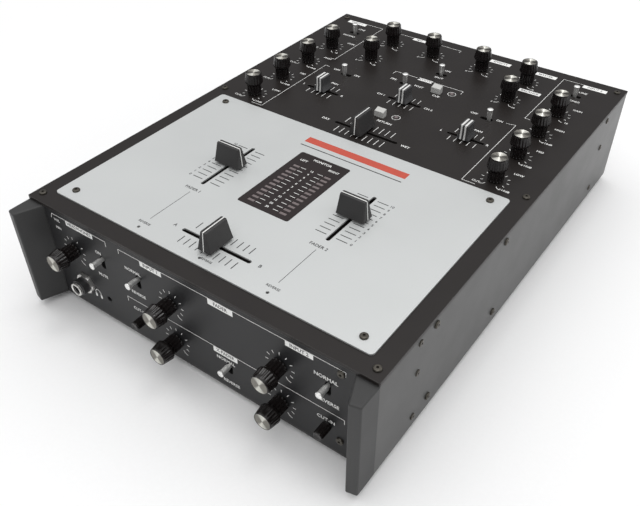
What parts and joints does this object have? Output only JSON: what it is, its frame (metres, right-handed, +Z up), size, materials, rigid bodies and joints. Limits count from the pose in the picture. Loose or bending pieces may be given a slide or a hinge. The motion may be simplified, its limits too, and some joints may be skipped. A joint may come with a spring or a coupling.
{
  "type": "dj mixer",
  "caption": "Compact DJ mixer in a low black steel case with a pale fader plate, turning knobs, sliding faders and switches, and a headphone socket on its front panel.",
  "frame": {"origin": "on the table under the middle of the overall box, at the level of the feet's undersides", "axes": "+X to the right as the user sees it, +Y from the front panel to the rear panel, +Z up"},
  "size_m": [0.2558, 0.3699, 0.094],
  "materials": {
    "case_paint": "satin black powder coat",
    "case_side_paint": "satin black powder coat",
    "fader_plate_metal": "satin silver, printed",
    "guard_plastic": "fine-grained",
    "foot_rubber": "matte",
    "black_screw": "black oxide",
    "meter_glaze": "satin",
    "lamp_lens": "unlit lens",
    "nickel": "bright nickel",
    "plain_steel": "zinc plated",
    "black_plastic": "moulded",
    "board_green": "solder resist",
    "knob_plastic": "ribbed, with a spun metal cap disc",
    "chrome": "polished",
    "cap_plastic": "with a white line",
    "small_cap_plastic": "with two white stripes",
    "pale_plastic": "moulded"
  },
  "bodies": {
    "case": {"base_tray": "case_side_paint", "front_panel": "case_paint", "rear_panel": "case_paint", "top_plate": "case_paint", "fader_plate": "fader_plate_metal", "left_corner_guard": "guard_plastic", "right_corner_guard": "guard_plastic", "rubber_feet": "foot_rubber", "case_screws": "black_screw", "meter_window": "meter_glaze", "indicator_lamps": "lamp_lens", "headphone_socket": "nickel", "fader_tracks": "plain_steel", "potentiometers": "plain_steel", "switch_bodies": "black_plastic", "circuit_boards": "board_green", "power_supply": "plain_steel", "rear_sockets": "nickel", "mains_inlet": "black_plastic"},
    "left_gain_knob": {"left_gain_knob": "knob_plastic"},
    "left_treble_knob": {"left_treble_knob": "knob_plastic"},
    "left_middle_knob": {"left_middle_knob": "knob_plastic"},
    "left_bass_knob": {"left_bass_knob": "knob_plastic"},
    "right_gain_knob": {"right_gain_knob": "knob_plastic"},
    "right_treble_knob": {"right_treble_knob": "knob_plastic"},
    "right_middle_knob": {"right_middle_knob": "knob_plastic"},
    "right_bass_knob": {"right_bass_knob": "knob_plastic"},
    "microphone_tone_knob": {"microphone_tone_knob": "knob_plastic"},
    "microphone_level_knob": {"microphone_level_knob": "knob_plastic"},
    "effect_send_knob": {"effect_send_knob": "knob_plastic"},
    "effect_return_knob": {"effect_return_knob": "knob_plastic"},
    "master_level_knob": {"master_level_knob": "knob_plastic"},
    "balance_knob": {"balance_knob": "knob_plastic"},
    "headphone_level_knob": {"headphone_level_knob": "knob_plastic"},
    "input_1_curve_knob": {"input_1_curve_knob": "knob_plastic"},
    "crossfader_curve_knob": {"crossfader_curve_knob": "knob_plastic"},
    "input_2_curve_knob": {"input_2_curve_knob": "knob_plastic"},
    "monitor_blend_knob": {"monitor_blend_knob": "knob_plastic"},
    "input_1_cut_in_knob": {"input_1_cut_in_knob": "knob_plastic"},
    "input_2_cut_in_knob": {"input_2_cut_in_knob": "knob_plastic"},
    "left_input_switch": {"left_input_switch": "chrome"},
    "microphone_switch": {"microphone_switch": "chrome"},
    "effect_switch": {"effect_switch": "chrome"},
    "monitor_switch": {"monitor_switch": "chrome"},
    "loop_switch": {"loop_switch": "chrome"},
    "right_input_switch": {"right_input_switch": "chrome"},
    "mute_switch": {"mute_switch": "chrome"},
    "input_1_reverse_switch": {"input_1_reverse_switch": "chrome"},
    "crossfader_reverse_switch": {"crossfader_reverse_switch": "chrome"},
    "input_2_reverse_switch": {"input_2_reverse_switch": "chrome"},
    "line_fader_1_cap": {"line_fader_1_cap": "cap_plastic"},
    "line_fader_2_cap": {"line_fader_2_cap": "cap_plastic"},
    "crossfader_cap": {"crossfader_cap": "cap_plastic"},
    "effect_fader_cap": {"effect_fader_cap": "cap_plastic"},
    "pan_fader_1_cap": {"pan_fader_1_cap": "small_cap_plastic"},
    "monitor_mix_fader_cap": {"monitor_mix_fader_cap": "small_cap_plastic"},
    "pan_fader_2_cap": {"pan_fader_2_cap": "small_cap_plastic"},
    "monitor_button": {"monitor_button": "pale_plastic"},
    "return_button": {"return_button": "pale_plastic"},
    "power_rocker": {"power_rocker": "black_plastic"}
  },
  "joints": [
    {"name": "left_gain_turn", "type": "hinge", "parent": "case", "child": "left_gain_knob", "pos_m": [-0.0976, 0.1127, 0.077], "axis": [0, 0, 1], "range_deg": [-150, 150]},
    {"name": "left_treble_turn", "type": "hinge", "parent": "case", "child": "left_treble_knob", "pos_m": [-0.0976, 0.0793, 0.077], "axis": [0, 0, 1], "range_deg": [-150, 150]},
    {"name": "left_middle_turn", "type": "hinge", "parent": "case", "child": "left_middle_knob", "pos_m": [-0.0976, 0.0459, 0.077], "axis": [0, 0, 1], "range_deg": [-150, 150]},
    {"name": "left_bass_turn", "type": "hinge", "parent": "case", "child": "left_bass_knob", "pos_m": [-0.0976, 0.0125, 0.077], "axis": [0, 0, 1], "range_deg": [-150, 150]},
    {"name": "right_gain_turn", "type": "hinge", "parent": "case", "child": "right_gain_knob", "pos_m": [0.0976, 0.1127, 0.077], "axis": [0, 0, 1], "range_deg": [-150, 150]},
    {"name": "right_treble_turn", "type": "hinge", "parent": "case", "child": "right_treble_knob", "pos_m": [0.0976, 0.0793, 0.077], "axis": [0, 0, 1], "range_deg": [-150, 150]},
    {"name": "right_middle_turn", "type": "hinge", "parent": "case", "child": "right_middle_knob", "pos_m": [0.0976, 0.0459, 0.077], "axis": [0, 0, 1], "range_deg": [-150, 150]},
    {"name": "right_bass_turn", "type": "hinge", "parent": "case", "child": "right_bass_knob", "pos_m": [0.0976, 0.0125, 0.077], "axis": [0, 0, 1], "range_deg": [-150, 150]},
    {"name": "microphone_tone_turn", "type": "hinge", "parent": "case", "child": "microphone_tone_knob", "pos_m": [-0.0594, 0.1127, 0.077], "axis": [0, 0, 1], "range_deg": [-150, 150]},
    {"name": "microphone_level_turn", "type": "hinge", "parent": "case", "child": "microphone_level_knob", "pos_m": [-0.0594, 0.1461, 0.077], "axis": [0, 0, 1], "range_deg": [-150, 150]},
    {"name": "effect_send_turn", "type": "hinge", "parent": "case", "child": "effect_send_knob", "pos_m": [-0.0216, 0.1461, 0.077], "axis": [0, 0, 1], "range_deg": [-150, 150]},
    {"name": "effect_return_turn", "type": "hinge", "parent": "case", "child": "effect_return_knob", "pos_m": [0.0216, 0.1461, 0.077], "axis": [0, 0, 1], "range_deg": [-150, 150]},
    {"name": "master_level_turn", "type": "hinge", "parent": "case", "child": "master_level_knob", "pos_m": [0.0594, 0.1461, 0.077], "axis": [0, 0, 1], "range_deg": [-150, 150]},
    {"name": "balance_turn", "type": "hinge", "parent": "case", "child": "balance_knob", "pos_m": [0.0594, 0.1127, 0.077], "axis": [0, 0, 1], "range_deg": [-150, 150]},
    {"name": "headphone_level_turn", "type": "hinge", "parent": "case", "child": "headphone_level_knob", "pos_m": [-0.0928, -0.1679, 0.0498], "axis": [0, -1, 0], "range_deg": [-150, 150]},
    {"name": "input_1_curve_turn", "type": "hinge", "parent": "case", "child": "input_1_curve_knob", "pos_m": [-0.0108, -0.1679, 0.0498], "axis": [0, -1, 0], "range_deg": [-150, 150]},
    {"name": "crossfader_curve_turn", "type": "hinge", "parent": "case", "child": "crossfader_curve_knob", "pos_m": [-0.0108, -0.1679, 0.0204], "axis": [0, -1, 0], "range_deg": [-150, 150]},
    {"name": "input_2_curve_turn", "type": "hinge", "parent": "case", "child": "input_2_curve_knob", "pos_m": [0.0671, -0.1679, 0.0498], "axis": [0, -1, 0], "range_deg": [-150, 150]},
    {"name": "monitor_blend_turn", "type": "hinge", "parent": "case", "child": "monitor_blend_knob", "pos_m": [0.0671, -0.1679, 0.0204], "axis": [0, -1, 0], "range_deg": [-150, 150]},
    {"name": "input_1_cut_in_turn", "type": "hinge", "parent": "case", "child": "input_1_cut_in_knob", "pos_m": [-0.0365, -0.1679, 0.0238], "axis": [0, -1, 0], "range_deg": [-135, 135]},
    {"name": "input_2_cut_in_turn", "type": "hinge", "parent": "case", "child": "input_2_cut_in_knob", "pos_m": [0.0976, -0.1679, 0.0238], "axis": [0, -1, 0], "range_deg": [-135, 135]},
    {"name": "left_input_switch_slide", "type": "slide", "parent": "case", "child": "left_input_switch", "axis": [1, 0, 0], "range_m": [-0.0028, 0.002]},
    {"name": "microphone_switch_slide", "type": "slide", "parent": "case", "child": "microphone_switch", "axis": [1, 0, 0], "range_m": [-0.001, 0.0038]},
    {"name": "effect_switch_slide", "type": "slide", "parent": "case", "child": "effect_switch", "axis": [1, 0, 0], "range_m": [-0.0024, 0.0024]},
    {"name": "monitor_switch_slide", "type": "slide", "parent": "case", "child": "monitor_switch", "axis": [1, 0, 0], "range_m": [-0.0024, 0.0024]},
    {"name": "loop_switch_slide", "type": "slide", "parent": "case", "child": "loop_switch", "axis": [1, 0, 0], "range_m": [-0.0042, 0.0006]},
    {"name": "right_input_switch_slide", "type": "slide", "parent": "case", "child": "right_input_switch", "axis": [1, 0, 0], "range_m": [-0.0024, 0.0024]},
    {"name": "mute_switch_slide", "type": "slide", "parent": "case", "child": "mute_switch", "axis": [0, 0, 1], "range_m": [-0.0048, 0]},
    {"name": "input_1_reverse_switch_slide", "type": "slide", "parent": "case", "child": "input_1_reverse_switch", "axis": [0, 0, 1], "range_m": [-0.0048, 0]},
    {"name": "crossfader_reverse_switch_slide", "type": "slide", "parent": "case", "child": "crossfader_reverse_switch", "axis": [0, 0, 1], "range_m": [-0.0048, 0]},
    {"name": "input_2_reverse_switch_slide", "type": "slide", "parent": "case", "child": "input_2_reverse_switch", "axis": [0, 0, 1], "range_m": [-0.0048, 0]},
    {"name": "line_fader_1_slide", "type": "slide", "parent": "case", "child": "line_fader_1_cap", "axis": [0, 1, 0], "range_m": [-0.0247, 0.0203]},
    {"name": "line_fader_2_slide", "type": "slide", "parent": "case", "child": "line_fader_2_cap", "axis": [0, 1, 0], "range_m": [-0.0242, 0.0208]},
    {"name": "crossfader_slide", "type": "slide", "parent": "case", "child": "crossfader_cap", "axis": [1, 0, 0], "range_m": [-0.0225, 0.0225]},
    {"name": "effect_fader_slide", "type": "slide", "parent": "case", "child": "effect_fader_cap", "axis": [1, 0, 0], "range_m": [-0.0197, 0.0253]},
    {"name": "pan_fader_1_slide", "type": "slide", "parent": "case", "child": "pan_fader_1_cap", "axis": [1, 0, 0], "range_m": [-0.011, 0.011]},
    {"name": "monitor_mix_fader_slide", "type": "slide", "parent": "case", "child": "monitor_mix_fader_cap", "axis": [1, 0, 0], "range_m": [-0.011, 0.011]},
    {"name": "pan_fader_2_slide", "type": "slide", "parent": "case", "child": "pan_fader_2_cap", "axis": [1, 0, 0], "range_m": [-0.011, 0.011]},
    {"name": "monitor_button_press", "type": "slide", "parent": "case", "child": "monitor_button", "axis": [0, 0, -1], "range_m": [0, 0.0012], "stiffness_N_per_m": 300},
    {"name": "return_button_press", "type": "slide", "parent": "case", "child": "return_button", "axis": [0, 0, -1], "range_m": [0, 0.0012], "stiffness_N_per_m": 300},
    {"name": "power_rocker_tilt", "type": "hinge", "parent": "case", "child": "power_rocker", "pos_m": [-0.058, 0.1764, 0.038], "axis": [1, 0, 0], "range_deg": [-16, 0]}
  ]
}
